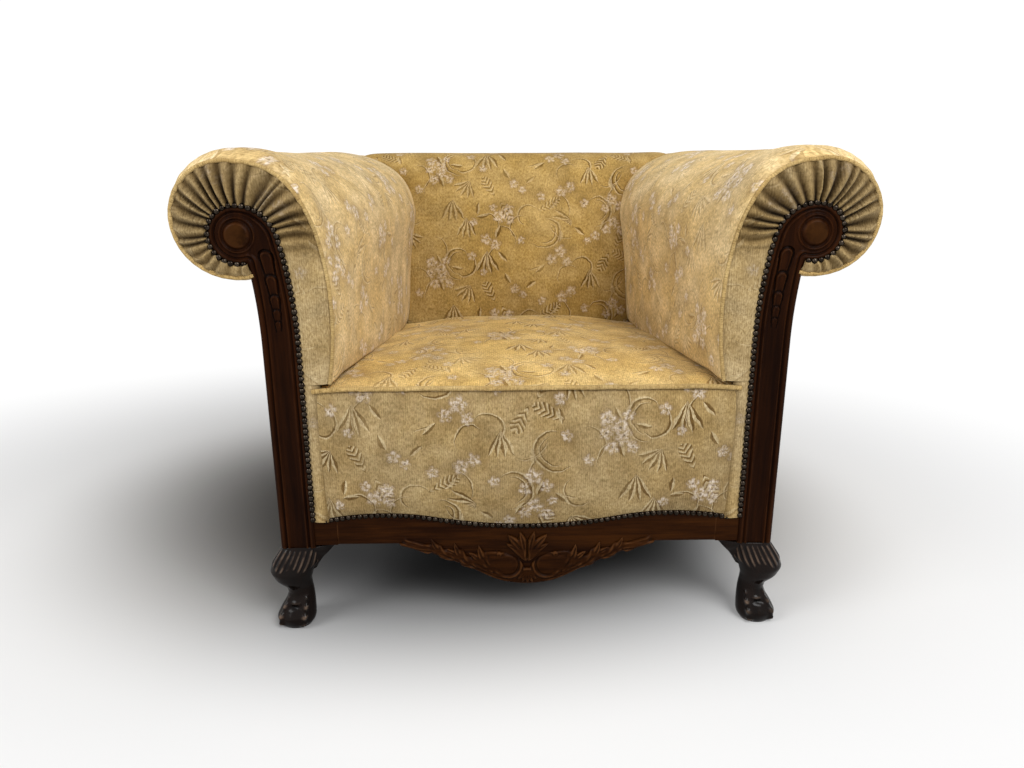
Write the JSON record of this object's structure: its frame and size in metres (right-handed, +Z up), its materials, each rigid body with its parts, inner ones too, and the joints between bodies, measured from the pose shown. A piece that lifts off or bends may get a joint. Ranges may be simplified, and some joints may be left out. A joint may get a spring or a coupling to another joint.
{
  "type": "baroque armchair",
  "caption": "Low upholstered club armchair with rolled arms, pleated arm fronts, a sprung seat and a carved dark wood front on claw feet.",
  "frame": {"origin": "on the floor under the middle of the chair's bounding box", "axes": "+X to the chair's right as seen from the front, +Y to the rear, +Z up; the sitter faces -Y"},
  "size_m": [1.054, 0.8384, 0.779],
  "materials": {
    "show_wood": "dark walnut stain, hand-rubbed polish, lighter on worn edges",
    "dark_foot": "near-black glossy polish",
    "frame_wood": "planed beech, unfinished",
    "stained_leg": "dark stain, satin",
    "floral_velvet": "gold-tan ribbed velvet with an embossed floral pattern, worn nap",
    "velvet_piping": "corded piping in the same cloth",
    "antique_brass": "dark antique bronze, polished tops",
    "webbing_jute": "woven jute strap",
    "hessian": "coarse plain weave",
    "black_cambric": "thin black cloth",
    "spring_steel": "drawn steel wire"
  },
  "bodies": {
    "root": {"front_rail": "show_wood", "apron_carving": "show_wood", "front_post_left": "show_wood", "front_post_right": "show_wood", "rail_block_left": "show_wood", "rail_block_right": "show_wood", "front_foot_left": "dark_foot", "front_foot_right": "dark_foot", "back_rail": "frame_wood", "back_tack_rail": "frame_wood", "crest_rail": "frame_wood", "corner_blocks": "frame_wood", "side_rail_left": "frame_wood", "side_rail_right": "frame_wood", "arm_rail_left": "frame_wood", "arm_rail_right": "frame_wood", "arm_tack_rail_left": "frame_wood", "arm_tack_rail_right": "frame_wood", "back_post_left": "stained_leg", "back_post_right": "stained_leg", "seat_pad": "floral_velvet", "seat_border": "floral_velvet", "back_pad": "floral_velvet", "outside_back": "floral_velvet", "arm_pad_left": "floral_velvet", "arm_pad_right": "floral_velvet", "arm_front_left": "floral_velvet", "arm_front_right": "floral_velvet", "outside_arm_left": "floral_velvet", "outside_arm_right": "floral_velvet", "seat_piping": "velvet_piping", "arm_piping_left": "velvet_piping", "arm_piping_right": "velvet_piping", "post_nails_left": "antique_brass", "post_nails_right": "antique_brass", "rail_nails": "antique_brass", "seat_webbing": "webbing_jute", "back_webbing": "webbing_jute", "arm_webbing_left": "webbing_jute", "arm_webbing_right": "webbing_jute", "seat_hessian": "hessian", "dust_cover": "black_cambric", "seat_springs": "spring_steel"}
  },
  "joints": []
}
